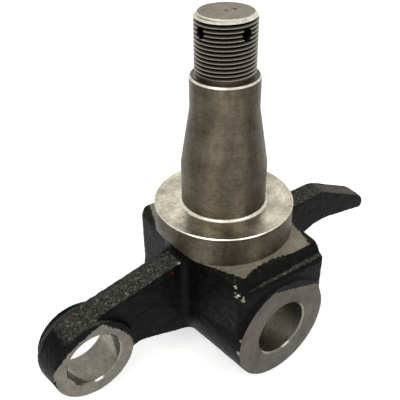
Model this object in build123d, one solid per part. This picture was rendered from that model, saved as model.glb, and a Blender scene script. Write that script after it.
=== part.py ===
from build123d import *
from math import cos, radians, sin, tan
import os

# Steering knuckle of a small lift truck's steered axle. One steel drop forging carries all of it:
# a boss bored for the kingpin, a block over the boss, a wheel spindle, a steering arm with its
# eye, and a stop horn. Only the spindle, the block's top, the boss ends, the eye and the bores
# are machined. Millimetres. The origin is where the spindle axis crosses the kingpin axis:
# +Z runs out along the spindle, Y along the kingpin, -X to the arm and +X to the horn.

# Forging: the dies part on a plane square to the kingpin, and every flank leans away from it.
parting_y = 4.0
draft = 5.4
root_round = 3.8

# Kingpin boss, a round barrel across the foot, milled at both ends and bored through. The
# spindle stands nearer its back end, whose rim is well rounded.
boss_front = 51.1
boss_back = 41.4
boss_front_r = 30.4
boss_draft = 3.6
boss_back_round = 7.5
milling_stock = 1.0
kingpin_bore_d = 32.0
kingpin_bore_chamfer = 0.8

# Block between the boss and the spindle's collar, faced flat on top.
flat_height = 41.3
block_front_width = 58.0
block_draft = 4.9
block_step_left = 2.2
block_step_right = 0.3
block_round = 3.0
block_top_stock = 1.5
block_top_round = 5.0

# Bevel across the front of the block's top: a steep lip, a narrow shelf and a rounded shoulder.
bevel_run = 7.9
bevel_lip_run = 3.0
bevel_lip_drop = 5.2
bevel_shelf_drop = 2.0
notch_round = 1.5

# Turned spindle, from the faced flat outwards.
collar_d = 75.0
collar_height = 16.7
collar_chamfer = 0.5
inner_seat_d = 45.0
inner_seat_length = 23.2
seat_foot_round = 1.8
taper_length = 31.0
outer_seat_d = 35.0
outer_seat_length = 16.8
seat_end_chamfer = 0.8
thread_d = 30.0
thread_length = 29.9
thread_relief_d = 27.2
thread_relief_length = 2.2
end_chamfer = 1.9
cotter_hole_d = 5.5
cotter_from_end = 7.2

# Raw pad that the collar is turned from. It is oval above the flat, widest along the kingpin,
# so the foot of the collar doesn't clean up on the two sides that face the limbs.
pad_depth = 12.0
pad_foot_r = 32.5
pad_slope = 14.6
pad_oval = 1.27
turning_stock = 1.5

# Steering arm, a deep web that narrows from the boss to the eye.
arm_front = 8.0
arm_back = 6.5
arm_root_x = -20.0
arm_top_root_z = 39.1
arm_top_below_eye_top = 0.3
arm_under_root_z = -20.4
arm_under_above_eye = 0.9
eye_reach = 91.4
eye_height = 2.2
eye_thickness = 21.0
eye_ridge_r = 24.5
eye_back_r = 21.8
eye_bore_d = 30.0
eye_bore_chamfer = 0.8
eye_neck_round = 9.5

# Stop horn, with a level back that slopes to a blunt nose and one long hollow curve beneath.
horn_front = 7.0
horn_back = 6.5
horn_root_x = 20.0
horn_top_z = 35.7
horn_crest_x = 74.7
horn_slope = 25.7
horn_nose_x = 117.0
horn_nose_under_z = 4.4
horn_under_slope = 10.6
horn_under_root_x = 67.0
horn_under_root_z = -24.0
horn_crest_round = 14.0
horn_nose_top_round = 9.0
horn_nose_under_round = 3.5
horn_under_round = 36.0

# Heights and ends that follow from the sizes above.
bevel_start = boss_front - bevel_run
lip_end = bevel_start + bevel_lip_run
collar_top = flat_height + collar_height
inner_seat_top = collar_top + inner_seat_length
outer_seat_foot = inner_seat_top + taper_length
shoulder = outer_seat_foot + outer_seat_length
spindle_end = shoulder + thread_length
lip_foot_height = flat_height - bevel_lip_drop
shelf_end_height = lip_foot_height - bevel_shelf_drop
root_blend_top = flat_height - pad_depth


def forged(outline, front, back):
    """Grow an outline on the parting plane to the front (-Y) and the back (+Y), with draft."""
    across = {"x_dir": (1, 0, 0), "z_dir": (0, -1, 0)}
    parting = Plane(origin=(0, parting_y, 0), **across)
    halves = []
    for end_y in (-front, back):
        lean = abs(end_y - parting_y) * tan(radians(draft))
        end = Plane(origin=(0, end_y, 0), **across)
        halves.append(loft([parting * outline, end * offset(outline, amount=-lean, kind=Kind.TANGENT)], ruled=True))
    return halves[0] + halves[1]


def grown_from(body, limb):
    """Join a limb to the body, with a hollow blend down both sides of its root and below it."""
    joined = body + limb
    root = new_edges(body, limb, combined=joined)
    blended = root.filter_by(lambda edge: edge.center().Z < root_blend_top)
    return fillet(blended, root_round)


def forged_boss():
    """The barrel round the kingpin, widest at the parting plane, with stock on its front end."""
    lean = tan(radians(boss_draft))
    parting_r = boss_front_r + (boss_front + parting_y) * lean
    back_r = parting_r - (boss_back - parting_y) * lean
    raw_front = boss_front + milling_stock
    section = make_face(
        Polyline(
            (0, -raw_front),
            (boss_front_r - milling_stock * lean, -raw_front),
            (parting_r, parting_y),
            (back_r, boss_back),
            (0, boss_back),
            close=True,
        )
    )
    back_rim = section.vertices().sort_by_distance((back_r, boss_back))[0]
    section = fillet(back_rim, boss_back_round)
    seam_below = Rot(0, 90, 0)
    return seam_below * revolve(section, Axis.Y)


def forged_block():
    """The block over the boss: a six-sided plan, rounded flanks and one bevelled end."""
    half_front = block_front_width / 2
    half_parting = half_front + (boss_front + parting_y) * tan(radians(block_draft))
    half_back = half_parting - (boss_back - parting_y) * tan(radians(block_draft))
    plan = make_face(
        Polyline(
            (-half_front, block_step_left - boss_front),
            (half_front, block_step_right - boss_front),
            (half_parting, parting_y),
            (half_back, boss_back),
            (-half_back, boss_back),
            (-half_parting, parting_y),
            close=True,
        )
    )
    back_corners = plan.vertices().group_by(Axis.Y)[-1]
    plan = fillet(back_corners, boss_back_round)
    block = extrude(plan, amount=flat_height + block_top_stock) - end_bevel()
    upright = block.edges().filter_by(Axis.Z)
    corners = upright.filter_by(lambda edge: edge.center().Y < -bevel_start)
    level = block.edges().filter_by(lambda edge: abs(edge.center().Z - shelf_end_height) < notch_round)
    shoulders = level.filter_by(lambda edge: edge.length > half_front)
    block = fillet(corners + shoulders, block_round)
    rim = block.edges().group_by(Axis.Z)[-1]
    flanks = rim.filter_by(lambda edge: edge.center().Y > -bevel_start + notch_round)
    block = fillet(flanks, block_top_round)
    lows = block.edges().filter_by(lambda edge: abs(edge.center().Y + lip_end) < notch_round / 3)
    notches = lows.filter_by(lambda edge: edge.length > half_front)
    return fillet(notches, notch_round)


def end_bevel():
    """What the dies leave out above the front of the block, as a cutter that runs across it."""
    above = flat_height + 2 * block_top_stock
    beyond = boss_front + milling_stock
    profile = Polyline(
        (-bevel_start, above),
        (-bevel_start, flat_height),
        (-lip_end, lip_foot_height),
        (-boss_front, shelf_end_height),
        (-beyond, shelf_end_height),
        (-beyond, above),
        close=True,
    )
    section = Plane.YZ * make_face(profile)
    return extrude(section, amount=block_front_width, both=True)


def forged_arm():
    """The steering arm's web with the round of its eye, then the eye's own low bosses."""
    web = make_face(
        Polyline(
            (arm_root_x, arm_top_root_z),
            (-eye_reach, eye_height + eye_ridge_r - arm_top_below_eye_top),
            (-eye_reach, eye_height + arm_under_above_eye),
            (arm_root_x, arm_under_root_z),
            close=True,
        )
    )
    outline = web + Pos(-eye_reach, eye_height) * Circle(eye_ridge_r)
    outer_corners = outline.vertices().filter_by(lambda corner: corner.X < arm_root_x - 1)
    under_neck = outer_corners.sort_by(Axis.Y)[0]
    outline = fillet(under_neck, eye_neck_round)
    arm = forged(outline, arm_front, arm_back)
    half = eye_thickness / 2
    front_r = eye_ridge_r - (half + parting_y) * tan(radians(draft))
    front_face = Plane(origin=(-eye_reach, -half, eye_height), z_dir=(0, 1, 0))
    arm += extrude(front_face * Circle(front_r), amount=half, taper=-draft)
    back_face = Plane(origin=(-eye_reach, half, eye_height), z_dir=(0, -1, 0))
    arm += extrude(back_face * Circle(eye_back_r), amount=half, taper=-draft)
    return arm


def forged_horn():
    """The stop horn, cut from one outline whose underside is a single long hollow curve."""
    fall = tan(radians(horn_slope))
    rise = tan(radians(horn_under_slope))
    nose_top_z = horn_top_z - (horn_nose_x - horn_crest_x) * fall
    under_root_top = horn_nose_under_z + (horn_nose_x - horn_under_root_x) * rise
    outline = make_face(
        Polyline(
            (horn_root_x, horn_top_z),
            (horn_crest_x, horn_top_z),
            (horn_nose_x, nose_top_z),
            (horn_nose_x, horn_nose_under_z),
            (horn_under_root_x, under_root_top),
            (horn_root_x, horn_under_root_z),
            close=True,
        )
    )
    rounds = {
        (horn_crest_x, horn_top_z): horn_crest_round,
        (horn_nose_x, nose_top_z): horn_nose_top_round,
        (horn_nose_x, horn_nose_under_z): horn_nose_under_round,
        (horn_under_root_x, under_root_top): horn_under_round,
    }
    for place, radius in rounds.items():
        corner = outline.vertices().sort_by_distance(place)[0]
        outline = fillet(corner, radius)
    return forged(outline, horn_front, horn_back)


def spindle_blank():
    """The raw pad under the collar and the bar above it, both with stock for the lathe."""
    upright = (Align.CENTER, Align.CENTER, Align.MIN)
    lean = tan(radians(pad_slope))
    flat_r = pad_foot_r + pad_depth * lean
    raw_collar = collar_height + turning_stock
    foot = Cone(pad_foot_r, flat_r, pad_depth, align=upright)
    head = Cone(flat_r, flat_r + raw_collar * lean, raw_collar, align=upright)
    head = scale(head, by=(1, pad_oval, 1))
    bar = Cylinder(inner_seat_d / 2 + turning_stock, spindle_end - flat_height, align=upright)
    return Pos(0, 0, flat_height) * (Pos(0, 0, -pad_depth) * foot + head + bar)


def turned_outline():
    """Half the section of the finished spindle, from its axis out to the collar and back."""
    foot_arc_start = (inner_seat_d / 2 + seat_foot_round, collar_top)
    foot_arc_end = (inner_seat_d / 2, collar_top + seat_foot_round)
    foot_arc_middle = (
        inner_seat_d / 2 + seat_foot_round * (1 - cos(radians(45))),
        collar_top + seat_foot_round * (1 - sin(radians(45))),
    )
    rim = Polyline(
        (0, flat_height),
        (collar_d / 2, flat_height),
        (collar_d / 2, collar_top - collar_chamfer),
        (collar_d / 2 - collar_chamfer, collar_top),
        foot_arc_start,
    )
    foot = ThreePointArc(foot_arc_start, foot_arc_middle, foot_arc_end)
    seats = Polyline(
        foot_arc_end,
        (inner_seat_d / 2, inner_seat_top),
        (outer_seat_d / 2, outer_seat_foot),
        (outer_seat_d / 2, shoulder - seat_end_chamfer),
        (outer_seat_d / 2 - seat_end_chamfer, shoulder),
        (thread_relief_d / 2, shoulder),
        (thread_relief_d / 2, shoulder + thread_relief_length / 2),
        (thread_d / 2, shoulder + thread_relief_length),
        (thread_d / 2, spindle_end - end_chamfer),
        (thread_d / 2 - end_chamfer, spindle_end),
        (0, spindle_end),
        (0, flat_height),
    )
    return Plane.XZ * make_face(rim + foot + seats)


def machining_envelope():
    """All that the lathe and the facing cut leave: the turned spindle, and the part below."""
    reach = horn_nose_x + eye_reach + eye_ridge_r
    below = Box(
        2 * reach,
        4 * boss_front,
        2 * reach,
        align=(Align.CENTER, Align.CENTER, Align.MAX),
    )
    return revolve(turned_outline(), Axis.Z) + Pos(0, 0, flat_height) * below


def bore(x, z, diameter, front, back, chamfer_size):
    """A bore along Y with both its mouths chamfered, as a cutter that runs past them."""
    radius = diameter / 2
    past = milling_stock
    mouth_r = radius + chamfer_size + past
    section = Polyline(
        (0, -front - past),
        (mouth_r, -front - past),
        (radius, chamfer_size - front),
        (radius, back - chamfer_size),
        (mouth_r, back + past),
        (0, back + past),
        close=True,
    )
    return Pos(x, 0, z) * revolve(make_face(section), Axis.Y)


def cotter_holes():
    """Two holes that cross on the spindle axis near its end, for the nut's split pin."""
    hole = Cylinder(cotter_hole_d / 2, thread_d + cotter_hole_d)
    crossed = Rot(0, 90, 0) * hole + Rot(90, 0, 0) * hole
    return Pos(0, 0, spindle_end - cotter_from_end) * crossed


def front_facing_cut():
    """The cut that brings the front of the boss to its plane."""
    width = 4 * boss_front_r
    cut = Box(
        width,
        2 * milling_stock,
        width,
        align=(Align.CENTER, Align.MAX, Align.CENTER),
    )
    return Pos(0, -boss_front, 0) * cut


def steering_knuckle():
    """The forging first, then every machining cut in the order that a shop would take them."""
    body = forged_boss() + forged_block()
    body = grown_from(body, forged_arm())
    body = grown_from(body, forged_horn())
    body += spindle_blank()
    body = body & machining_envelope()
    body -= front_facing_cut()
    body -= bore(0, 0, kingpin_bore_d, boss_front, boss_back, kingpin_bore_chamfer)
    eye_half = eye_thickness / 2
    body -= bore(-eye_reach, eye_height, eye_bore_d, eye_half, eye_half, eye_bore_chamfer)
    body -= cotter_holes()
    return body.solids()[0]


knuckle = steering_knuckle()
os.makedirs("parts", exist_ok=True)
export_step(knuckle, "parts/steering_knuckle.step")
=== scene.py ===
import math

import bpy
import numpy as np
from mathutils import Matrix, Vector


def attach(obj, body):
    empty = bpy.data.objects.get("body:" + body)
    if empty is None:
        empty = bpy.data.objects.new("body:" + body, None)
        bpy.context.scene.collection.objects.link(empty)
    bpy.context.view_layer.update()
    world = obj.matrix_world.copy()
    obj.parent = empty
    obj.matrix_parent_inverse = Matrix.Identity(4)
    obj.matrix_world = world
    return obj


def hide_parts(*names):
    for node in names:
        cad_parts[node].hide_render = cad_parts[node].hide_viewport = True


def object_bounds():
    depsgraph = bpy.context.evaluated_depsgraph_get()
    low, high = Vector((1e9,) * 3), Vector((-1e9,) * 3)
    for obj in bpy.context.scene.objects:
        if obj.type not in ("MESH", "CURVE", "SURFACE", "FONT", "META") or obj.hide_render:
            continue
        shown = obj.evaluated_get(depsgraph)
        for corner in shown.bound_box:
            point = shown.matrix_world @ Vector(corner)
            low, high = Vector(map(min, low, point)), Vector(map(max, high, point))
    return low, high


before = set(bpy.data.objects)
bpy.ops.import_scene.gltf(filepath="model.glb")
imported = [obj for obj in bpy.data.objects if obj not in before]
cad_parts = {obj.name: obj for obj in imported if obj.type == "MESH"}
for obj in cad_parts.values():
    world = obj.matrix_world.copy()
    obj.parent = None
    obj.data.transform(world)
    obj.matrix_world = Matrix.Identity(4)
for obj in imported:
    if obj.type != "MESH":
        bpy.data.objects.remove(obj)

cad_low, cad_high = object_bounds()

# --- Forging -------------------------------------------------------------------------------
# The knuckle starts as one closed-die steel forging: kingpin boss, block, arm with its eye and
# stop horn. Its skin is a little lumpy from scale, its rims are soft, and a low ridge of
# trimmed flash runs round it where the dies met. It is shaped here with stock for machining.
MM = 0.001
PARTING_Y = 4.0 * MM
BOSS_FRONT_Y = cad_low.y
BOSS_BACK_Y = cad_high.y
FLAT_Z = 41.3 * MM
COLLAR_R = 37.5 * MM
COLLAR_TOP_Z = 58.0 * MM
PAD_TOP_Z = COLLAR_TOP_Z - 7.0 * MM
KINGPIN_R = 16.0 * MM
EYE_X = -91.4 * MM
EYE_Z = 2.2 * MM
EYE_HALF = 10.5 * MM
EYE_BORE_R = 15.0 * MM
EYE_NECK_X = -60.0 * MM
BORE_CHAMFER = 0.8 * MM
STOCK = 1.2 * MM
SKIN_GRID = 0.95 * MM
SCALE_DEPTH = 0.6 * MM
SCALE_LUMPS = (7.0 * MM, 2.4 * MM)
LIMB_ROOT_X = 38.0 * MM
FLASH_FROM_X = -112.0 * MM
FLASH_TO_X = 110.0 * MM
FLASH_HEIGHT = 0.45 * MM
WELD = 0.002 * MM
TOUCH = 0.02 * MM
# The share of a normal along an axis from which a face is taken to look that way.
FACING = 0.9


def only(piece):
    """Make this the one selected and active object."""
    if bpy.context.object and bpy.context.object.mode != "OBJECT":
        bpy.ops.object.mode_set(mode="OBJECT")
    bpy.ops.object.select_all(action="DESELECT")
    piece.select_set(True)
    bpy.context.view_layer.objects.active = piece


def rows_of(elements, what):
    """One vector of every face or vertex of a mesh, as an array with a row for each."""
    values = np.empty(len(elements) * 3)
    elements.foreach_get(what, values)
    return values.reshape(-1, 3)


def select_parts(piece, kind, chosen):
    """Leave exactly the chosen faces or vertices selected, and enter edit mode."""
    only(piece)
    bpy.ops.object.mode_set(mode="EDIT")
    bpy.ops.mesh.select_mode(type=kind)
    bpy.ops.mesh.select_all(action="DESELECT")
    bpy.ops.object.mode_set(mode="OBJECT")
    elements = piece.data.polygons if kind == "FACE" else piece.data.vertices
    elements.foreach_set("select", np.asarray(chosen, dtype=bool))
    bpy.ops.object.mode_set(mode="EDIT")


def apply_modifier(piece, kind, **settings):
    """Add one modifier, set it and apply it."""
    only(piece)
    modifier = piece.modifiers.new(kind.lower(), kind)
    for name, value in settings.items():
        setattr(modifier, name, value)
    bpy.ops.object.modifier_apply(modifier=modifier.name)


only(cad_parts["steering_knuckle"])
bpy.ops.object.duplicate()
knuckle = bpy.context.object
knuckle.name = "knuckle_forging"
bpy.ops.object.mode_set(mode="EDIT")
bpy.ops.mesh.select_all(action="SELECT")
bpy.ops.mesh.remove_doubles(threshold=WELD)
bpy.ops.object.mode_set(mode="OBJECT")

# Bores and spindle aren't there yet: their walls go, and the openings are closed again.
x, y, z = rows_of(knuckle.data.polygons, "center").T
in_kingpin = (np.hypot(x, z) < KINGPIN_R + BORE_CHAMFER) & (z < FLAT_Z)
in_eye = np.hypot(x - EYE_X, z - EYE_Z) < EYE_BORE_R + BORE_CHAMFER
select_parts(knuckle, "FACE", in_kingpin | in_eye)
bpy.ops.mesh.delete(type="FACE")
bpy.ops.mesh.select_all(action="SELECT")
bpy.ops.mesh.fill_holes(sides=0)
bpy.ops.mesh.select_all(action="SELECT")
bpy.ops.mesh.bisect(
    plane_co=(0, 0, PAD_TOP_Z),
    plane_no=(0, 0, 1),
    clear_outer=True,
    use_fill=True,
)
bpy.ops.object.mode_set(mode="OBJECT")

# Stock stands on every face that a cutter will take down later.
x, y, z = rows_of(knuckle.data.polygons, "center").T
_, facing_y, facing_z = rows_of(knuckle.data.polygons, "normal").T
on_flat = (abs(z - FLAT_Z) < TOUCH) & (facing_z > FACING)
on_front = (y < BOSS_FRONT_Y + TOUCH) & (facing_y < -FACING)
on_back = (y > BOSS_BACK_Y - TOUCH) & (facing_y > FACING)
on_eye = (x < EYE_NECK_X) & (abs(abs(y) - EYE_HALF) < TOUCH)
for chosen, growth in (
    (on_flat, (0, 0, STOCK)),
    (on_front, (0, -STOCK, 0)),
    (on_back, (0, STOCK, 0)),
    (on_eye & (y < 0), (0, -STOCK, 0)),
    (on_eye & (y > 0), (0, STOCK, 0)),
):
    select_parts(knuckle, "FACE", chosen)
    bpy.ops.transform.translate(value=growth)
on_collar = (np.hypot(x, y) > COLLAR_R - 5 * TOUCH) & (abs(facing_z) < 1 - FACING) & (z > FLAT_Z)
select_parts(knuckle, "FACE", on_collar)
swell = 1 + STOCK / COLLAR_R
bpy.ops.transform.resize(value=(swell, swell, 1), center_override=(0, 0, 0))
bpy.ops.object.mode_set(mode="OBJECT")

apply_modifier(knuckle, "REMESH", mode="VOXEL", voxel_size=SKIN_GRID)
apply_modifier(knuckle, "SMOOTH", factor=0.5, iterations=2)

# Flash ridge along the die line of the arm, its eye and the horn.
x, y, _ = rows_of(knuckle.data.vertices, "co").T
_, facing_y, _ = rows_of(knuckle.data.vertices, "normal").T
along_line = abs(y - PARTING_Y) < 0.6 * SKIN_GRID
past_root = abs(x) > LIMB_ROOT_X
short_of_tips = (x > FLASH_FROM_X) & (x < FLASH_TO_X)
across_line = abs(facing_y) < math.cos(math.radians(60))
select_parts(knuckle, "VERT", along_line & past_root & short_of_tips & across_line)
bpy.ops.transform.shrink_fatten(value=FLASH_HEIGHT)
bpy.ops.object.mode_set(mode="OBJECT")

# Scale lumps, large and small, pressed into the skin and never out of it.
for grain in SCALE_LUMPS:
    lumps = bpy.data.textures.new("scale lumps", "CLOUDS")
    lumps.noise_scale = grain
    lumps.noise_depth = 1
    apply_modifier(
        knuckle,
        "DISPLACE",
        texture=lumps,
        texture_coords="LOCAL",
        mid_level=1.0,
        strength=SCALE_DEPTH / len(SCALE_LUMPS),
    )

# --- Turned spindle ------------------------------------------------------------------------
# Lathe work between centres: the collar for the hub's oil seal, a 45 mm and a 35 mm bearing
# seat with a taper between them, and the nut's threaded end. The raw pad is a little small at
# the two sides that face the limbs, so the foot of the collar keeps some black skin there.
COLLAR_CHAMFER = 0.5 * MM
INNER_SEAT_R = 22.5 * MM
SEAT_FOOT_ROUND = 1.8 * MM
INNER_SEAT_TOP_Z = 81.2 * MM
OUTER_SEAT_R = 17.5 * MM
OUTER_SEAT_FOOT_Z = 112.2 * MM
SHOULDER_Z = 129.0 * MM
SEAT_END_CHAMFER = 0.8 * MM
THREAD_R = 15.0 * MM
RELIEF_R = 13.6 * MM
RELIEF_LENGTH = 2.2 * MM
SPINDLE_END_Z = cad_high.z
END_CHAMFER = 1.9 * MM
BAR_FOOT_Z = 20.0 * MM
BAR_NECK_Z = PAD_TOP_Z - 3.0 * MM
BAR_RIM_Z = PAD_TOP_Z - 1.0 * MM
FAR = 200.0 * MM
LATHE_STEPS = 192
ROUND_STEP = 15
Z_AXIS = (0, 0, 1)


def revolved(name, outline, axis, centre=(0, 0, 0)):
    """A solid turned from an outline of points, made by extruding a vertex and spinning it."""
    bpy.ops.object.select_all(action="DESELECT")
    bpy.ops.mesh.primitive_plane_add(size=MM, location=outline[0])
    solid = bpy.context.object
    solid.name = name
    bpy.ops.object.transform_apply(location=True, rotation=True, scale=True)
    bpy.ops.object.mode_set(mode="EDIT")
    bpy.ops.mesh.select_mode(type="VERT")
    bpy.ops.mesh.merge(type="CENTER")
    for start, end in zip(outline, outline[1:]):
        step = Vector(end) - Vector(start)
        bpy.ops.mesh.extrude_region_move(TRANSFORM_OT_translate={"value": step})
    bpy.ops.mesh.select_all(action="SELECT")
    bpy.ops.mesh.spin(steps=LATHE_STEPS, angle=math.tau, center=centre, axis=axis)
    bpy.ops.mesh.select_all(action="SELECT")
    bpy.ops.mesh.remove_doubles(threshold=WELD)
    bpy.ops.mesh.normals_make_consistent(inside=False)
    bpy.ops.object.mode_set(mode="OBJECT")
    return solid


def machine(piece, cutter, how):
    """Join, cut or trim the piece with another solid, which is then thrown away."""
    apply_modifier(piece, "BOOLEAN", operation=how, object=cutter, solver="MANIFOLD")
    bpy.data.objects.remove(cutter)


def in_profile(points):
    """Points given as radius and height, set in the XZ plane."""
    return [(radius, 0, height) for radius, height in points]


# The raw bar that the forging's stem gives the lathe.
bar = in_profile(
    [
        (0, BAR_FOOT_Z),
        (INNER_SEAT_R, BAR_FOOT_Z),
        (INNER_SEAT_R, BAR_NECK_Z),
        (COLLAR_R + STOCK, BAR_RIM_Z),
        (COLLAR_R + STOCK, COLLAR_TOP_Z + STOCK),
        (INNER_SEAT_R + STOCK + SEAT_FOOT_ROUND, COLLAR_TOP_Z + STOCK),
        (INNER_SEAT_R + STOCK, COLLAR_TOP_Z + 3 * STOCK),
        (INNER_SEAT_R + STOCK, SPINDLE_END_Z + STOCK),
        (0, SPINDLE_END_Z + STOCK),
    ]
)
machine(knuckle, revolved("bar", bar, Z_AXIS), "UNION")

# What the lathe leaves, from the flat under the collar to the spindle's end.
foot_round = []
for quarter in range(0, 91, ROUND_STEP):
    turn = math.radians(quarter)
    out = INNER_SEAT_R + SEAT_FOOT_ROUND * (1 - math.sin(turn))
    up = COLLAR_TOP_Z + SEAT_FOOT_ROUND * (1 - math.cos(turn))
    foot_round.append((out, up))
lathe_path = in_profile(
    [
        (0, -FAR),
        (FAR, -FAR),
        (FAR, FLAT_Z),
        (COLLAR_R, FLAT_Z),
        (COLLAR_R, COLLAR_TOP_Z - COLLAR_CHAMFER),
        (COLLAR_R - COLLAR_CHAMFER, COLLAR_TOP_Z),
        *foot_round,
        (INNER_SEAT_R, INNER_SEAT_TOP_Z),
        (OUTER_SEAT_R, OUTER_SEAT_FOOT_Z),
        (OUTER_SEAT_R, SHOULDER_Z - SEAT_END_CHAMFER),
        (OUTER_SEAT_R - SEAT_END_CHAMFER, SHOULDER_Z),
        (RELIEF_R, SHOULDER_Z),
        (RELIEF_R, SHOULDER_Z + RELIEF_LENGTH / 2),
        (THREAD_R, SHOULDER_Z + RELIEF_LENGTH),
        (THREAD_R, SPINDLE_END_Z - END_CHAMFER),
        (THREAD_R - END_CHAMFER, SPINDLE_END_Z),
        (0, SPINDLE_END_Z),
    ]
)
machine(knuckle, revolved("lathe", lathe_path, Z_AXIS), "INTERSECT")

# --- Nut thread ----------------------------------------------------------------------------
# M30 x 2, cut as one helix on the spindle's end: each turn leaves a narrow flat crest and a V
# groove, coloured near black towards its root.
PITCH = 2.0 * MM
GROOVE_ROOT_R = 13.8 * MM
GROOVE_MOUTH_R = 15.15 * MM
GROOVE_MIDDLE_R = (GROOVE_ROOT_R + GROOVE_MOUTH_R) / 2
GROOVE_DEPTH = GROOVE_MOUTH_R - GROOVE_ROOT_R
GROOVE_ROOT_HALF = 0.18 * MM
GROOVE_MOUTH_HALF = 0.96 * MM
THREAD_TURNS = 15
THREAD_STEPS = 96

bpy.ops.object.select_all(action="DESELECT")
bpy.ops.mesh.primitive_plane_add(
    size=GROOVE_DEPTH,
    location=(GROOVE_MIDDLE_R, 0, SHOULDER_Z),
    rotation=(math.pi / 2, 0, 0),
)
groove = bpy.context.object
bpy.ops.object.transform_apply(location=True, rotation=True, scale=True)
at_root = rows_of(groove.data.vertices, "co")[:, 0] < GROOVE_MIDDLE_R
for chosen, half in ((at_root, GROOVE_ROOT_HALF), (~at_root, GROOVE_MOUTH_HALF)):
    select_parts(groove, "VERT", chosen)
    narrowing = half / (GROOVE_DEPTH / 2)
    bpy.ops.transform.resize(value=(1, 1, narrowing), center_override=(0, 0, SHOULDER_Z))
bpy.ops.mesh.select_all(action="SELECT")
bpy.ops.mesh.delete(type="ONLY_FACE")
bpy.ops.object.mode_set(mode="OBJECT")
apply_modifier(
    groove,
    "SCREW",
    axis="Z",
    angle=math.tau,
    screw_offset=PITCH,
    iterations=THREAD_TURNS,
    steps=THREAD_STEPS,
    render_steps=THREAD_STEPS,
)
only(groove)
bpy.ops.object.mode_set(mode="EDIT")
bpy.ops.mesh.select_all(action="SELECT")
bpy.ops.mesh.remove_doubles(threshold=WELD)
bpy.ops.mesh.fill_holes(sides=0)
bpy.ops.mesh.select_all(action="SELECT")
bpy.ops.mesh.normals_make_consistent(inside=False)
bpy.ops.object.mode_set(mode="OBJECT")
machine(knuckle, groove, "DIFFERENCE")

# --- Milled faces, bores and pin holes -----------------------------------------------------
# The boss ends and both faces of the eye are milled flat, the kingpin bore and the eye are
# bored through and chamfered, and two crossed holes are drilled for the nut's split pin.
# The spindle's end keeps the marks of two punches.
PIN_HOLE_R = 2.75 * MM
PIN_HOLE_Z = 151.7 * MM
PIN_HOLE_STEPS = 48
PUNCH_DEPTH = 0.7 * MM
PUNCH_R = 1.1 * MM
PUNCH_STEPS = 24
PUNCH_PLACES = ((0, 0), (4.6 * MM, -0.6 * MM))
Y_AXIS = (0, 1, 0)


def block_between(low, high):
    """A box between two corners."""
    low = Vector(low)
    high = Vector(high)
    bpy.ops.object.select_all(action="DESELECT")
    bpy.ops.mesh.primitive_cube_add(size=1, location=(low + high) / 2, scale=high - low)
    bpy.ops.object.transform_apply(location=True, rotation=True, scale=True)
    return bpy.context.object


for low, high in (
    ((-FAR, -FAR, -FAR), (FAR, BOSS_FRONT_Y, FAR)),
    ((-FAR, BOSS_BACK_Y, -FAR), (FAR, FAR, FAR)),
    ((-FAR, -FAR, -FAR), (EYE_NECK_X, -EYE_HALF, FAR)),
    ((-FAR, EYE_HALF, -FAR), (EYE_NECK_X, FAR, FAR)),
):
    machine(knuckle, block_between(low, high), "DIFFERENCE")


def bore_path(start_y, end_y, bore_r, centre):
    """Outline of a boring cutter along Y that chamfers both mouths."""
    wide = bore_r + BORE_CHAMFER + STOCK
    x, y, z = centre
    return [
        (x, start_y - STOCK, z),
        (x + wide, start_y - STOCK, z),
        (x + bore_r, start_y + BORE_CHAMFER, z),
        (x + bore_r, end_y - BORE_CHAMFER, z),
        (x + wide, end_y + STOCK, z),
        (x, end_y + STOCK, z),
    ]


for name, start_y, end_y, bore_r, centre in (
    ("kingpin bar", BOSS_FRONT_Y, BOSS_BACK_Y, KINGPIN_R, (0, 0, 0)),
    ("eye bar", -EYE_HALF, EYE_HALF, EYE_BORE_R, (EYE_X, 0, EYE_Z)),
):
    boring = bore_path(start_y, end_y, bore_r, centre)
    machine(knuckle, revolved(name, boring, Y_AXIS, centre), "DIFFERENCE")
for quarter_turn in ((math.pi / 2, 0, 0), (0, math.pi / 2, 0)):
    bpy.ops.object.select_all(action="DESELECT")
    bpy.ops.mesh.primitive_cylinder_add(
        vertices=PIN_HOLE_STEPS,
        radius=PIN_HOLE_R,
        depth=3 * THREAD_R,
        location=(0, 0, PIN_HOLE_Z),
        rotation=quarter_turn,
    )
    bpy.ops.object.transform_apply(location=True, rotation=True, scale=True)
    machine(knuckle, bpy.context.object, "DIFFERENCE")
for punch_x, punch_y in PUNCH_PLACES:
    bpy.ops.object.select_all(action="DESELECT")
    bpy.ops.mesh.primitive_cone_add(
        vertices=PUNCH_STEPS,
        radius1=0,
        radius2=2 * PUNCH_R,
        depth=2 * PUNCH_DEPTH,
        location=(punch_x, punch_y, SPINDLE_END_Z),
    )
    bpy.ops.object.transform_apply(location=True, rotation=True, scale=True)
    machine(knuckle, bpy.context.object, "DIFFERENCE")

# Each face of the one solid takes the slot of the process that left it. The spindle's end
# shares the flat's finish, and the kingpin bore's chamfers share the eye bore's.
(
    PAINTED,
    TURNED,
    THREADED,
    FLAT_MILLED,
    BOSS_MILLED,
    EYE_MILLED,
    KINGPIN_BORED,
    EYE_BORED,
    EDGE_HIGHLIGHT,
) = range(9)
SMOOTH_BELOW = 32
# The cutters leave a face within this distance of its plane.
NEAR = 0.03 * MM
# Shares of a normal along an axis: square to it, leaning towards it, and tilted from it.
SQUARE = 0.99
MOSTLY_UP, HALF_UP = 0.6, 0.5
STEEP, SHALLOW = 0.3, 0.96

only(knuckle)
bpy.ops.object.shade_smooth_by_angle(angle=math.radians(SMOOTH_BELOW))
x, y, z = rows_of(knuckle.data.polygons, "center").T
_, facing_y, facing_z = rows_of(knuckle.data.polygons, "normal").T
axis_r = np.hypot(x, y)
process = np.full(len(x), PAINTED)

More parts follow.
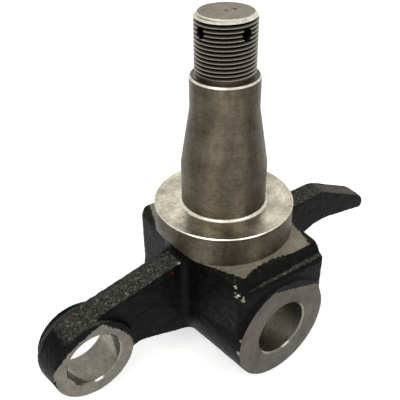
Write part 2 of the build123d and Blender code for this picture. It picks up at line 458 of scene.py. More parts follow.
rim = (z > FLAT_Z + NEAR) & (abs(axis_r - COLLAR_R) < 2 * NEAR)
process[rim | (z > COLLAR_TOP_Z - COLLAR_CHAMFER)] = TURNED
end_chamfer = (z > SPINDLE_END_Z - END_CHAMFER + NEAR) & (facing_z > MOSTLY_UP)
process[(z > SHOULDER_Z + NEAR) & ~end_chamfer] = THREADED
relief = (z > SHOULDER_Z) & (z < SHOULDER_Z + RELIEF_LENGTH)
process[relief & (axis_r < THREAD_R - PITCH / 4)] = TURNED

faced = (abs(z - FLAT_Z) < NEAR) | (z > SPINDLE_END_Z - PUNCH_DEPTH - NEAR)
process[faced & (facing_z > HALF_UP) & ~end_chamfer] = FLAT_MILLED
process[(z > SPINDLE_END_Z - NEAR) & (facing_z > SQUARE)] = FLAT_MILLED
process[(y < BOSS_FRONT_Y + NEAR) | (y > BOSS_BACK_Y - NEAR)] = BOSS_MILLED
on_eye = (x < EYE_NECK_X) & (abs(abs(y) - EYE_HALF) < NEAR)
process[on_eye & (abs(facing_y) > SQUARE)] = EYE_MILLED

in_kingpin = (np.hypot(x, z) < KINGPIN_R + BORE_CHAMFER) & (z < FLAT_Z)
in_eye = np.hypot(x - EYE_X, z - EYE_Z) < EYE_BORE_R + BORE_CHAMFER
process[in_kingpin & (y > BOSS_FRONT_Y + NEAR) & (y < BOSS_BACK_Y - NEAR)] = KINGPIN_BORED
process[in_kingpin & (abs(facing_y) > STEEP) & (abs(facing_y) < SHALLOW)] = EYE_BORED
process[in_eye & (abs(y) < EYE_HALF - NEAR)] = EYE_BORED

tilted = (facing_z > STEEP) & (facing_z < SHALLOW) & (process != THREADED)
# The chamfers and the seat's foot fillet take the finish with the painted highlight.
for top, deep in (
    (COLLAR_TOP_Z + SEAT_FOOT_ROUND, SEAT_FOOT_ROUND),
    (COLLAR_TOP_Z, COLLAR_CHAMFER),
    (SHOULDER_Z, SEAT_END_CHAMFER),
    (SPINDLE_END_Z, END_CHAMFER),
):
    at_edge = (z > top - deep) & (z < top)
    at_edge &= (axis_r > RELIEF_R - END_CHAMFER) & (axis_r < COLLAR_R)
    process[at_edge & tilted] = EDGE_HIGHLIGHT

# --- Black paint ---------------------------------------------------------------------------
# Thin satin black enamel over the forged scale. It is near black on upright faces, and where it
# faces up its lumps and dust are coloured a dull grey-green, a painted sheen of the light from
# above.
PAINT_DEEP = "#050605"
PAINT_WORN = "#121310"
PAINT_DUST_AND_SHEEN = "#4c4e45"
NOSE_DUST_AND_SHEEN = "#54473c"
PAINT_FLECK_GLINT = "#6f7269"
BARE_NICK = "#857f71"
RED_SPECK = "#6b1d1a"
# From here on places and pattern sizes are in millimetres, as the materials read them. Real
# scale grit is about 0.3 mm, and the dust grains that carry the painted glints are finer still:
# both are drawn coarser here, or they would blur to an even grey. The lumps keep their real
# size.
GRIT = 1.6
FLECK_GLINT = 1.3
LUMP = 5.0
# Teeth along a nick's edge, per millimetre.
NICK_TEETH = 0.9
# A noise pattern keeps to the middle of its 0 to 1 range.
NOISE_LOW, NOISE_HIGH = 0.3, 0.7
PAINT_ROUGHNESS = (0.34, 0.56)
PAINT_RELIEF = 0.22 * MM
# Lower than enamel's own, because the surroundings are white on all sides.
SPECULAR = 0.05
# Where the dust and the painted sheen of the tops lie: ahead of the die line, all over past the
# arm's root, and browner from the bend of the horn to its nose.
DIE_LINE = PARTING_Y / MM
DUST_AND_SHEEN_PAST = -31.0
LIMB_ROOT = LIMB_ROOT_X / MM
NOSE_FROM, NOSE_TO = 70.0, 80.0
# Knocks and specks, each with its place and its reach.
NICKS = (
    ((-28.6, -46.2, 36.2), 2.6),
    ((-26.6, -48.6, 34.0), 2.2),
    ((-28.3, -44.2, 39.8), 1.8),
    ((-36.1, -6.9, 35.0), 1.6),
    ((-29.2, -50.6, 8.6), 1.6),
    ((-30.2, -50.4, 0.0), 2.2),
)
RED_SPECKS = (
    ((-40.2, -7.9, 31.0), 1.5),
    ((-96.5, 0.6, 25.6), 1.3),
)
material_slots = []


def linear(hex_colour):
    """An sRGB hex colour as linear RGBA."""
    shares = [int(hex_colour[i : i + 2], 16) / 255 for i in (1, 3, 5)]
    out = [s / 12.92 if s <= 0.04045 else ((s + 0.055) / 1.055) ** 2.4 for s in shares]
    return (*out, 1)


def add(material, kind, settings, feeds):
    """Add a node: settings name its properties and sockets, feeds name what runs into them."""
    tree = material.node_tree
    node = tree.nodes.new("ShaderNode" + kind)
    for name, value in settings.items():
        if isinstance(name, int) or name in node.inputs:
            node.inputs[name].default_value = value
        else:
            setattr(node, name, value)
    for name, source in feeds.items():
        if isinstance(source, bpy.types.Node):
            source = next(socket for socket in source.outputs if socket.enabled)
        tree.links.new(source, node.inputs[name])
    return node


def new_finish(name):
    """An empty material, with the place on the piece in millimetres and the normal there."""
    material = bpy.data.materials.new(name)
    material.use_nodes = True
    material.node_tree.nodes.clear()
    texture = add(material, "TexCoord", {}, {})
    scale = {"operation": "SCALE", "Scale": 1 / MM}
    place = add(material, "VectorMath", scale, {0: texture.outputs["Object"]})
    return material, place, texture.outputs["Normal"]


def close_finish(material, settings, feeds, height, depth):
    """The shader, with its settings and feeds, over a relief of the given depth in metres."""
    bump = add(material, "Bump", {"Strength": 1.0, "Distance": depth}, {"Height": height})
    settings = {"Specular IOR Level": SPECULAR, **settings}
    shader = add(material, "BsdfPrincipled", settings, {**feeds, "Normal": bump})
    add(material, "OutputMaterial", {}, {"Surface": shader})
    material_slots.append(material)


def paint_layer(material, place, normal, dust_and_sheen_share=1.0):
    """Colour, roughness and height of the painted skin, with a share of dust and painted sheen
    on its tops.
    """
    across, fore, _ = add(material, "SeparateXYZ", {}, {0: place}).outputs
    grit = {"Scale": 1 / GRIT, "Detail": 3.0, "Roughness": 0.6}
    grit = add(material, "TexNoise", grit, {"Vector": place})
    lump = {"Scale": 1 / LUMP, "Detail": 2.0}
    lump = add(material, "TexNoise", lump, {"Vector": place})
    mottle = add(material, "MapRange", {1: 0.45, 2: 0.75}, {0: lump})
    mix = {"data_type": "RGBA", 6: linear(PAINT_DEEP), 7: linear(PAINT_WORN)}
    colour = add(material, "Mix", mix, {0: mottle})

    # Dust, together with a painted sheen of the light from above, lies where the skin faces up:
    # in front of the die line on the arm, and all over the block and the horn.
    # Painted sheen: faces that look up are coloured lighter, with their dust, for the light that
    # falls on them from above.
    upward = add(material, "SeparateXYZ", {}, {0: normal}).outputs["Z"]
    upward = add(material, "MapRange", {1: 0.80, 2: 0.88, 4: dust_and_sheen_share}, {0: upward})
    in_front = add(material, "MapRange", {1: DIE_LINE + 0.6, 2: DIE_LINE - 0.6}, {0: fore})
    past_arm = add(material, "MapRange", {1: DUST_AND_SHEEN_PAST - 3, 2: DUST_AND_SHEEN_PAST + 3}, {0: across})
    reached = add(material, "Math", {"operation": "MAXIMUM"}, {0: in_front, 1: past_arm})
    upward = add(material, "Math", {"operation": "MULTIPLY"}, {0: upward, 1: reached})
    speckle = add(material, "MapRange", {1: 0.30, 2: 0.75}, {0: grit})
    dust_and_sheen = add(material, "Math", {"operation": "MULTIPLY"}, {0: upward, 1: speckle})

    # The crest of the flash line on the limbs gets a painted highlight, as pale as the dust and
    # sheen.
    crest = add(material, "Math", {"operation": "SUBTRACT", 1: DIE_LINE}, {0: fore})
    crest = add(material, "Math", {"operation": "ABSOLUTE"}, {0: crest})
    crest = add(material, "MapRange", {1: 0.9, 2: 0.4, 4: 0.7 * dust_and_sheen_share}, {0: crest})
    on_limb = add(material, "Math", {"operation": "ABSOLUTE"}, {0: across})
    on_limb = add(material, "MapRange", {1: LIMB_ROOT - 1, 2: LIMB_ROOT + 1}, {0: on_limb})
    crest = add(material, "Math", {"operation": "MULTIPLY"}, {0: crest, 1: on_limb})
    crest = add(material, "Math", {"operation": "MULTIPLY"}, {0: crest, 1: grit})
    dust_and_sheen = add(material, "Math", {"operation": "MAXIMUM"}, {0: dust_and_sheen, 1: crest})
    # Towards the horn's nose the dust and painted sheen turn browner.
    nose = add(material, "MapRange", {1: NOSE_FROM, 2: NOSE_TO}, {0: across})
    mix = {"data_type": "RGBA", 6: linear(PAINT_DUST_AND_SHEEN), 7: linear(NOSE_DUST_AND_SHEEN)}
    dust_and_sheen_colour = add(material, "Mix", mix, {0: nose})
    mix = {"data_type": "RGBA"}
    colour = add(material, "Mix", mix, {0: dust_and_sheen, 6: colour, 7: dust_and_sheen_colour})

    # Single grains that stand out of the dust are given painted glints, pale flecks of painted
    # highlight.
    fleck_glint = add(material, "TexNoise", {"Scale": 1 / FLECK_GLINT, "Detail": 1.0}, {"Vector": place})
    fleck_glint = add(material, "MapRange", {1: 0.60, 2: 0.74}, {0: fleck_glint})
    fleck_glint = add(material, "Math", {"operation": "MULTIPLY"}, {0: upward, 1: fleck_glint})
    mix = {"data_type": "RGBA", 7: linear(PAINT_FLECK_GLINT)}
    colour = add(material, "Mix", mix, {0: fleck_glint, 6: colour})
    smooth, rough = PAINT_ROUGHNESS
    roughness = {1: NOISE_LOW, 2: NOISE_HIGH, 3: smooth, 4: rough}
    roughness = add(material, "MapRange", roughness, {0: grit})
    height = add(material, "Math", {"operation": "ADD"}, {0: grit, 1: lump})
    return colour, roughness, height


# The enamel is thin and half mat: its upright faces stay near black with only a soft sheen, its
# tops carry dust and a painted sheen, and the edges that were knocked in handling show bare
# metal, with a speck of red here and there.
paint, place, normal = new_finish("satin black enamel on forged scale")
colour, roughness, height = paint_layer(paint, place, normal)
ragged = add(paint, "TexNoise", {"Scale": NICK_TEETH, "Detail": 3.0}, {"Vector": place})
ragged = add(paint, "Math", {"operation": "MULTIPLY", 1: 2.4}, {0: ragged})
bare = None
for spots, shade in ((NICKS, BARE_NICK), (RED_SPECKS, RED_SPECK)):
    for spot, reach in spots:
        away = {"operation": "DISTANCE", 1: spot}
        away = add(paint, "VectorMath", away, {0: place}).outputs["Value"]
        shrink = {"operation": "MULTIPLY_ADD", 1: 1 / reach}
        away = add(paint, "Math", shrink, {0: away, 2: ragged})
        here = add(paint, "MapRange", {1: 1.75, 2: 1.6}, {0: away})
        mix = {"data_type": "RGBA", 7: linear(shade)}
        colour = add(paint, "Mix", mix, {0: here, 6: colour})
        if shade == BARE_NICK and bare:
            here = add(paint, "Math", {"operation": "MAXIMUM"}, {0: bare, 1: here})
        if shade == BARE_NICK:
            bare = here
feeds = {"Base Color": colour, "Roughness": roughness, "Metallic": bare}
close_finish(paint, {}, feeds, height, PAINT_RELIEF)

# --- Turned steel --------------------------------------------------------------------------
# Bare medium-carbon steel off the lathe, dulled by handling and old oil: brownish grey with
# faint rings from the tool, darker stains, a few rust specks, and long streaks of oil with
# painted sheen and shade. The collar's face is painted paler, for the light its top catches.
STEEL_CLEAN = "#5a5549"
STEEL_STAINED = "#3f382e"
STEEL_FACED_LIT = "#c9c3b0"
FACED_STAINED_LIT = "#aea792"
STEEL_GROOVE_DARK = "#0d0c0a"
STEEL_CREST = "#8f8a7e"
RUST_SPECK = "#4a3626"
# The lathe's feed is about 0.2 mm, and the mottle's grain and the rust specks are about 0.5 mm:
# all three are drawn coarser, so that they show. Stains, and the streaks of oil with painted
# sheen and shade, keep their real size.
RING_PITCH = 1.4
GRAIN = 2.2
SPECK = 1.5
STAIN = 14.0
OIL_AND_SHEEN_STREAK = 12.0
OIL_AND_SHEEN_STRETCH = 0.1
OIL_AND_SHEEN_AT = (185.0, 55.0, 0.0)
FACED_UP_TO = 65.0
TURNED_ROUGHNESS = (0.42, 0.52)
FACED_SMOOTHER = 0.24
RING_RELIEF = 0.05 * MM
# The feed marks run round the axis, so the light spreads across them.
LATHED = {"Metallic": 1.0, "Anisotropic": 0.8, "Anisotropic Rotation": 0.25}
THREAD_ROOT, THREAD_CREST = 14.1, 14.85
THREAD_ROUGHNESS = (0.6, 0.3)
THREAD_RELIEF = 0.02 * MM


def steel_colour(material, place, clean, stained):
    """Mottled bare steel with rust specks, between two hex colours or nodes, and its stains."""
    stain = {"Scale": 1 / STAIN, "Detail": 5.0, "Roughness": 0.62}
    stain = add(material, "TexNoise", stain, {"Vector": place})
    mottle = add(material, "MapRange", {1: 0.25, 2: 0.75}, {0: stain})
    mix = {"data_type": "RGBA"}
    feeds = {0: mottle}
    for socket, shade in ((6, clean), (7, stained)):
        if isinstance(shade, str):
            mix[socket] = linear(shade)
        else:
            feeds[socket] = shade
    colour = add(material, "Mix", mix, feeds)
    speck = add(material, "TexNoise", {"Scale": 1 / SPECK, "Detail": 1.0}, {"Vector": place})
    speck = add(material, "MapRange", {1: 0.70, 2: 0.78, 4: 0.7}, {0: speck})
    mix = {"data_type": "RGBA", 7: linear(RUST_SPECK)}
    colour = add(material, "Mix", mix, {0: speck, 6: colour})
    grain = {"Scale": 1 / GRAIN, "Detail": 3.0, "Roughness": 0.7}
    grain = add(material, "TexNoise", grain, {"Vector": place})
    tone = {1: NOISE_LOW, 2: NOISE_HIGH, 3: 0.78, 4: 1.22}
    tone = add(material, "MapRange", tone, {0: grain})
    return add(material, "VectorMath", {"operation": "SCALE"}, {0: colour, 3: tone}), stain


def lathe_rings(material, place):
    """Fine rings round the spindle's axis, the radius they follow, and the height."""
    across, fore, up = add(material, "SeparateXYZ", {}, {0: place}).outputs
    level = add(material, "CombineXYZ", {}, {0: across, 1: fore})
    length = {"operation": "LENGTH"}
    radius = add(material, "VectorMath", length, {0: level}).outputs["Value"]
    along = add(material, "CombineXYZ", {}, {0: radius, 1: up})
    ring = {"Scale": 1 / RING_PITCH, "Detail": 3.0, "Roughness": 0.7}
    return add(material, "TexNoise", ring, {"Vector": along}), radius, up


# Turned steel shines in a band along the spindle, broken by rings, stains, and streaks of oil
# with painted sheen and shade. The collar's face, cut last, is smoother, and painted paler for
# the light its top catches.
turned, place, normal = new_finish("turned steel, handled")
ring, _, up = lathe_rings(turned, place)
# Painted highlight: the collar's upward face is coloured paler than the walls, for the light it
# catches from above.
faced = add(turned, "SeparateXYZ", {}, {0: normal}).outputs["Z"]
faced = add(turned, "MapRange", {1: 0.8, 2: 0.95}, {0: faced})
low = add(turned, "MapRange", {1: FACED_UP_TO + 5, 2: FACED_UP_TO - 5}, {0: up})
faced = add(turned, "Math", {"operation": "MULTIPLY"}, {0: faced, 1: low})
mix = {"data_type": "RGBA", 6: linear(STEEL_CLEAN), 7: linear(STEEL_FACED_LIT)}
clean = add(turned, "Mix", mix, {0: faced})
mix = {"data_type": "RGBA", 6: linear(STEEL_STAINED), 7: linear(FACED_STAINED_LIT)}
dull = add(turned, "Mix", mix, {0: faced})
colour, stain = steel_colour(turned, place, clean, dull)
smooth, rough = TURNED_ROUGHNESS
roughness = {1: NOISE_LOW, 2: NOISE_HIGH, 3: smooth, 4: rough}
roughness = add(turned, "MapRange", roughness, {0: stain})
smoother = add(turned, "MapRange", {3: 0.0, 4: -FACED_SMOOTHER}, {0: faced})
roughness = add(turned, "Math", {"operation": "ADD"}, {0: roughness, 1: smoother})
# Streaks of oil with painted sheen and shade: long upright streaks make the steel lighter in
# some places and darker in others.
oil_and_sheen_run = {"Scale": (1, 1, OIL_AND_SHEEN_STRETCH), "Location": OIL_AND_SHEEN_AT}
oil_and_sheen_run = add(turned, "Mapping", oil_and_sheen_run, {"Vector": place})
oil_and_sheen_run = add(turned, "TexNoise", {"Scale": 1 / OIL_AND_SHEEN_STREAK, "Detail": 2.0}, {"Vector": oil_and_sheen_run})
oil_and_sheen_run = add(turned, "MapRange", {1: 0.32, 2: 0.68, 3: 0.72, 4: 1.5}, {0: oil_and_sheen_run})
tone = {1: NOISE_LOW, 2: NOISE_HIGH, 3: 0.85, 4: 1.15}
tone = add(turned, "MapRange", tone, {0: ring})
tone = add(turned, "Math", {"operation": "MULTIPLY"}, {0: tone, 1: oil_and_sheen_run})
colour = add(turned, "VectorMath", {"operation": "SCALE"}, {0: colour, 3: tone})
round_axis = {"operation": "CROSS_PRODUCT", 0: Z_AXIS}
feed_marks = add(turned, "VectorMath", round_axis, {1: place})
feed_marks = add(turned, "VectorMath", {"operation": "NORMALIZE"}, {0: feed_marks})
feeds = {"Base Color": colour, "Roughness": roughness, "Tangent": feed_marks}
close_finish(turned, LATHED, feeds, ring, RING_RELIEF)

# The cut thread shows as pale crests between grooves, coloured near black towards their root.
threaded, place, _ = new_finish("cut steel thread, dark in the grooves")
ring, radius, _ = lathe_rings(threaded, place)
# The colour darkens from the crest down into the groove's root.
depth = add(threaded, "MapRange", {1: THREAD_ROOT, 2: THREAD_CREST}, {0: radius})
mix = {"data_type": "RGBA", 6: linear(STEEL_GROOVE_DARK), 7: linear(STEEL_CREST)}
colour = add(threaded, "Mix", mix, {0: depth})
oily, dry = THREAD_ROUGHNESS
roughness = add(threaded, "MapRange", {3: oily, 4: dry}, {0: depth})
feeds = {"Base Color": colour, "Roughness": roughness}
close_finish(threaded, {"Metallic": 1.0}, feeds, ring, THREAD_RELIEF)

# --- Milled faces --------------------------------------------------------------------------
# The flat under the collar, the boss ends and the eye's faces: warm light grey, mat from the
# face mill, and still black where the forging was too low for the cutter to reach. They take lit
# and shaded copies of one milled steel colour: the flat, facing up, lightest, and the boss ends
# darkest.
# Painted light and shade: the flat takes a lighter copy of the steel colour, and the boss ends
# and the eye's faces take darker copies.
FLAT_CLEAN_LIT = "#8f8977"
FLAT_STAINED_LIT = "#7a7261"
BOSS_CLEAN_SHADED = "#56514a"
BOSS_STAINED_SHADED = "#443f36"
EYE_CLEAN_SHADED = "#77736c"
EYE_STAINED_SHADED = "#625e56"
MILLED_ROUGHNESS = (0.34, 0.5)
MILL_RELIEF = 0.06 * MM
# The mill's feed is about 0.4 mm a tooth, drawn coarser so that it shows. The skin tears back
# from the cut in teeth of this size, by up to the given reach.
MILL_MARK = 1.6
TOOTH = 1.5
TOOTH_REACH = 0.9
# A dry film dulls the flat, so its share of metal is lower than the other faces'.
FLAT_METAL = 0.25
# The share of dust and painted sheen that the black skin beside a cut keeps, and how far the two
# blend, in mm.
EDGE_DUST_AND_SHEEN = 0.25
EDGE_BLUR = 0.15
# Where the flat's bare metal ends ahead of the spindle's axis, along a bow about a place to its
# left, and to either side, along edges that lean in as they leave the axis.
FLAT_AHEAD = 39.9
BOW, BOW_AT = 0.0121, -6.0
FLAT_RIGHT, RIGHT_LEAN = 37.2, 0.31
FLAT_LEFT, LEFT_LEAN = 40.0, 0.43
# The boss ends are bare below a line that falls to the right, within a reach that widens there.
BOSS_LINE, BOSS_LEAN = 27.0, 0.33
BOSS_REACH = 30.6
BOSS_WIDER, WIDER_FROM = 12.0, 6.0
# How far from the eye's centre its faces are bare, by the direction in degrees from +X: the
# forged rim is uneven and the cutter only reached its high side.
EYE_REACH = (
    (-180, 22.0),
    (-165, 22.5),
    (-140, 25.0),
    (-20, 25.0),
    (0, 22.0),
    (30, 19.5),
    (55, 19.5),
    (72, 22.0),
    (85, 20.0),
    (100, 18.0),
    (120, 18.0),
    (150, 19.5),
    (180, 22.0),
)
REACH_LEAST = 16.0
REACH_SPAN = 10.0


def milled_finish(name, clean, stained, metal_share, bare_for):
    """Milled steel where bare_for gives more than 0 mm, black skin where it gives less."""
    material, place, normal = new_finish(name)
    skin_colour, skin_roughness, skin = paint_layer(material, place, normal, EDGE_DUST_AND_SHEEN)
    colour, stain = steel_colour(material, place, clean, stained)
    wobble = {"Scale": 1 / TOOTH, "Detail": 2.0}
    wobble = add(material, "TexNoise", wobble, {"Vector": place})
    tear = {1: 0.25, 2: 0.75, 3: -TOOTH_REACH, 4: TOOTH_REACH}
    wobble = add(material, "MapRange", tear, {0: wobble})
    bare = bare_for(material, place)
    bare = add(material, "Math", {"operation": "ADD"}, {0: bare, 1: wobble})
    bare = add(material, "MapRange", {1: -EDGE_BLUR, 2: EDGE_BLUR}, {0: bare})
    mix = {"data_type": "RGBA"}
    colour = add(material, "Mix", mix, {0: bare, 6: skin_colour, 7: colour})
    smooth, rough = MILLED_ROUGHNESS
    roughness = {1: NOISE_LOW, 2: NOISE_HIGH, 3: smooth, 4: rough}
    roughness = add(material, "MapRange", roughness, {0: stain})
    roughness = add(material, "Mix", {}, {0: bare, 2: skin_roughness, 3: roughness})
    swirl = {"Scale": 1 / MILL_MARK, "Detail": 2.0}
    swirl = add(material, "TexNoise", swirl, {"Vector": place})
    height = add(material, "Mix", {}, {0: bare, 2: skin, 3: swirl})
    metal = {"operation": "MULTIPLY", 1: metal_share}
    metal = add(material, "Math", metal, {0: bare})
    feeds = {"Base Color": colour, "Roughness": roughness, "Metallic": metal}
    close_finish(material, {}, feeds, height, MILL_RELIEF)


def straight_edge(material, along, across, slope, offset):
    """Signed distance from a straight edge: offset - across - slope * along."""
    rise = {"operation": "MULTIPLY_ADD", 1: -slope, 2: offset}
    rise = add(material, "Math", rise, {0: along})
    return add(material, "Math", {"operation": "SUBTRACT"}, {0: rise, 1: across})


def flat_bare(material, place):
    """The flat is bare but for strips along its front, left and right edges."""
    across, fore, _ = add(material, "SeparateXYZ", {}, {0: place}).outputs
    from_axis = add(material, "Math", {"operation": "ABSOLUTE"}, {0: fore})
    bow = add(material, "Math", {"operation": "SUBTRACT", 1: BOW_AT}, {0: across})
    bow = add(material, "Math", {"operation": "MULTIPLY"}, {0: bow, 1: bow})
    front = {"operation": "MULTIPLY_ADD", 1: BOW, 2: FLAT_AHEAD}
    front = add(material, "Math", front, {0: bow})
    front = add(material, "Math", {"operation": "SUBTRACT"}, {0: front, 1: from_axis})
    right = straight_edge(material, from_axis, across, RIGHT_LEAN, FLAT_RIGHT)
    mirrored = add(material, "Math", {"operation": "MULTIPLY", 1: -1.0}, {0: across})
    left = straight_edge(material, from_axis, mirrored, LEFT_LEAN, FLAT_LEFT)
    sides = add(material, "Math", {"operation": "MINIMUM"}, {0: left, 1: right})
    return add(material, "Math", {"operation": "MINIMUM"}, {0: sides, 1: front})


def boss_bare(material, place):
    """The boss ends are bare below a slanting line, and out to the forging's round edge."""
    across, _, up = add(material, "SeparateXYZ", {}, {0: place}).outputs
    below = straight_edge(material, across, up, BOSS_LEAN, BOSS_LINE)
    upright = add(material, "CombineXYZ", {}, {0: across, 2: up})
    radius = {"operation": "LENGTH"}
    radius = add(material, "VectorMath", radius, {0: upright}).outputs["Value"]
    within = {"operation": "SUBTRACT", 0: BOSS_REACH}
    within = add(material, "Math", within, {1: radius})
    wider = add(material, "MapRange", {2: WIDER_FROM, 4: BOSS_WIDER}, {0: across})
    within = add(material, "Math", {"operation": "ADD"}, {0: within, 1: wider})
    return add(material, "Math", {"operation": "MINIMUM"}, {0: below, 1: within})


def eye_bare(material, place):
    """The eye's faces are bare to a ragged ring, whose reach changes with the direction."""
    centred = {"Location": (-EYE_X / MM, 0, -EYE_Z / MM)}
    centred = add(material, "Mapping", centred, {"Vector": place})
    across, _, up = add(material, "SeparateXYZ", {}, {0: centred}).outputs
    upright = add(material, "CombineXYZ", {}, {0: across, 2: up})
    radius = {"operation": "LENGTH"}
    radius = add(material, "VectorMath", radius, {0: upright}).outputs["Value"]
    turn = add(material, "Math", {"operation": "ARCTAN2"}, {0: up, 1: across})
    turn = add(material, "MapRange", {1: -math.pi, 2: math.pi}, {0: turn})
    reach = add(material, "ValToRGB", {}, {0: turn})
    stops = reach.color_ramp.elements
    while len(stops) > 1:
        stops.remove(stops[0])
    for degrees, millimetres in EYE_REACH:
        stop = stops.new((degrees + 180) / 360)
        grey = (millimetres - REACH_LEAST) / REACH_SPAN
        stop.color = (grey, grey, grey, 1)
    widen = {"operation": "MULTIPLY_ADD", 1: REACH_SPAN, 2: REACH_LEAST}
    reach = add(material, "Math", widen, {0: reach})
    return add(material, "Math", {"operation": "SUBTRACT"}, {0: reach, 1: radius})


# Milled steel is mat and even, a flat grey that takes no clear highlight, with the black skin
# torn back from it along a ragged edge.
milled_finish("milled steel, flat", FLAT_CLEAN_LIT, FLAT_STAINED_LIT, FLAT_METAL, flat_bare)
milled_finish("milled steel, boss ends", BOSS_CLEAN_SHADED, BOSS_STAINED_SHADED, 1.0, boss_bare)
milled_finish("milled steel, eye faces", EYE_CLEAN_SHADED, EYE_STAINED_SHADED, 1.0, eye_bare)

# --- Bored holes ---------------------------------------------------------------------------
# The kingpin bore and the eye are bored and reamed: the smoothest steel on the part, bright grey
# with fine rings, and darker where the bore looks at its own far wall. The kingpin bore's colour
# is painted lighter than the eye's, for the light that falls into it.
# Painted light: the kingpin bore takes a lighter copy of the eye bore's steel colour.
KINGPIN_CLEAN_LIT = "#d0cec7"
KINGPIN_STAINED_LIT = "#bab8b0"
EYE_BORE_CLEAN = "#87847b"
EYE_BORE_STAINED = "#6f6b61"
REAMED_ROUGHNESS = (0.18, 0.24)
REAMED_RELIEF = 0.02 * MM


def bored_finish(name, clean, stained):
    """Reamed steel with faint rings round an axis along Y."""
    material, place, normal = new_finish(name)
    colour, stain = steel_colour(material, place, clean, stained)
    along = add(material, "SeparateXYZ", {}, {0: place}).outputs["Y"]
    along = add(material, "CombineXYZ", {}, {0: along})
    ring = {"Scale": 1 / RING_PITCH, "Detail": 2.0}
    ring = add(material, "TexNoise", ring, {"Vector": along})
    smooth, rough = REAMED_ROUGHNESS
    roughness = {1: NOISE_LOW, 2: NOISE_HIGH, 3: smooth, 4: rough}
    roughness = add(material, "MapRange", roughness, {0: stain})
    round_axis = {"operation": "CROSS_PRODUCT", 0: Y_AXIS}
    feed_marks = add(material, "VectorMath", round_axis, {1: normal})
    feeds = {"Base Color": colour, "Roughness": roughness, "Tangent": feed_marks}
    close_finish(material, LATHED, feeds, ring, REAMED_RELIEF)


# Reamed steel is close to a dull mirror: it shows the floor and its own far wall as soft bands
# along the bore.
bored_finish("reamed steel, kingpin bore", KINGPIN_CLEAN_LIT, KINGPIN_STAINED_LIT)
bored_finish("reamed steel, eye bore", EYE_BORE_CLEAN, EYE_BORE_STAINED)

# --- Burnished edges, painted highlight ----------------------------------------------------
# The chamfers and the fillet that the tool's nose left on the spindle are the last metal cut:
# narrow bands, smoother than the walls they part, and painted brighter as a highlight.
EDGE_HIGHLIGHT_CLEAN = "#e3decf"
EDGE_HIGHLIGHT_STAINED = "#c2bba8"
BURNISHED_ROUGHNESS = (0.22, 0.34)
BURNISHED_RELIEF = 0.02 * MM

# These edges are coloured almost white, a painted highlight that draws a thin bright line round
# each step.
burnished, place, _ = new_finish("burnished steel, chamfers, painted highlight")
colour, stain = steel_colour(burnished, place, EDGE_HIGHLIGHT_CLEAN, EDGE_HIGHLIGHT_STAINED)
smooth, rough = BURNISHED_ROUGHNESS
roughness = {1: NOISE_LOW, 2: NOISE_HIGH, 3: smooth, 4: rough}
roughness = add(burnished, "MapRange", roughness, {0: stain})
feeds = {"Base Color": colour, "Roughness": roughness}
close_finish(burnished, {"Metallic": 1.0}, feeds, stain, BURNISHED_RELIEF)

# The finishes stand in the slots in the order of the processes above.
knuckle.data.materials.clear()
for material in material_slots:
    knuckle.data.materials.append(material)
knuckle.data.polygons.foreach_set("material_index", process.astype(np.int32))
knuckle.data.update()
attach(knuckle, "root")
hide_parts("steering_knuckle")

# --- Studio --------------------------------------------------------------------------------
# A white floor and white surroundings, one large soft lamp above the left shoulder of the
# camera and a weaker one on the right, and a camera with a normal lens.
FLOOR_SIZE = 12.0
FLOOR_WHITE = "#f7f7f5"
# The light that the floor gives of its own, which brings it to white where it is seen and
# still leaves the object's shadow.
FLOOR_LIFT = 0.52
WORLD_FILL = 0.5
LAMPS = (
    ("key softbox", (-0.85, -0.40, 0.95), 0.9, 8.0),
    ("front softbox", (0.15, -0.95, 0.80), 0.5, 4.0),
)
LAMPS_AIM = (0, 0, 0.04)
IMAGE_SIDE = 400
FOCAL_PIXELS = 601
SENSOR_MM = 36
CAMERA_PLACE = (-0.1723, -0.2079, 0.2404)
CAMERA_TURN, CAMERA_HEIGHT, CAMERA_ROLL = map(math.radians, (36.95, 34.30, -0.684))


def seen_straight(owner):
    """1 for rays from the camera and through gloss or glass, 0 for those that light things."""
    ray = add(owner, "LightPath", {}, {}).outputs
    seen = {0: ray["Is Camera Ray"], 1: ray["Is Glossy Ray"]}
    seen = add(owner, "Math", {"operation": "MAXIMUM"}, seen)
    seen = {0: seen, 1: ray["Is Transmission Ray"]}
    return add(owner, "Math", {"operation": "MAXIMUM"}, seen)


bpy.ops.object.select_all(action="DESELECT")
bpy.ops.mesh.primitive_plane_add(size=FLOOR_SIZE, location=(0, 0, cad_low.z))
floor = bpy.context.object
floor.name = "studio_floor"
bpy.ops.object.transform_apply(location=True, rotation=True, scale=True)
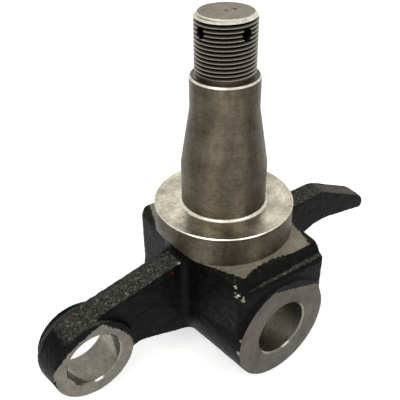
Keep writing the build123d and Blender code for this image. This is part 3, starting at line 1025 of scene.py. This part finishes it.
# White painted board, mat, so that it shows nothing but the soft shadow.
board = bpy.data.materials.new("white painted board")
board.use_nodes = True
board.node_tree.nodes.clear()
lift = add(board, "MapRange", {3: 0.0, 4: FLOOR_LIFT}, {0: seen_straight(board)})
shader = {"Base Color": linear(FLOOR_WHITE), "Roughness": 0.9, "Specular IOR Level": 0.1}
shader["Emission Color"] = (1, 1, 1, 1)
shader = add(board, "BsdfPrincipled", shader, {"Emission Strength": lift})
add(board, "OutputMaterial", {}, {"Surface": shader})
floor.data.materials.append(board)

world = bpy.data.worlds.new("white surroundings")
bpy.context.scene.world = world
world.use_nodes = True
world.node_tree.nodes.clear()
strength = add(world, "MapRange", {3: WORLD_FILL, 4: 1.0}, {0: seen_straight(world)})
light = add(world, "Background", {"Color": (1, 1, 1, 1)}, {"Strength": strength})
add(world, "OutputWorld", {}, {"Surface": light})

for name, place, size, power in LAMPS:
    lamp_data = bpy.data.lights.new(name, "AREA")
    lamp_data.shape = "SQUARE"
    lamp_data.size = size
    lamp_data.energy = power
    lamp = bpy.data.objects.new(name, lamp_data)
    bpy.context.scene.collection.objects.link(lamp)
    lamp.location = place
    aim = Vector(LAMPS_AIM) - Vector(place)
    lamp.rotation_euler = aim.to_track_quat("-Z", "Y").to_euler()

camera_data = bpy.data.cameras.new("camera")
camera_data.sensor_width = SENSOR_MM
camera_data.lens = FOCAL_PIXELS / IMAGE_SIDE * SENSOR_MM
camera = bpy.data.objects.new("camera", camera_data)
bpy.context.scene.collection.objects.link(camera)
level = math.cos(CAMERA_HEIGHT)
back = Vector(
    (
        -math.sin(CAMERA_TURN) * level,
        -math.cos(CAMERA_TURN) * level,
        math.sin(CAMERA_HEIGHT),
    )
)
right = Vector((math.cos(CAMERA_TURN), -math.sin(CAMERA_TURN), 0))
turn = Matrix((right, back.cross(right), back)).transposed()
roll = Matrix.Rotation(CAMERA_ROLL, 3, "Z")
camera.matrix_world = Matrix.Translation(CAMERA_PLACE) @ (turn @ roll).to_4x4()
bpy.context.scene.camera = camera
bpy.context.scene.view_settings.view_transform = "Standard"
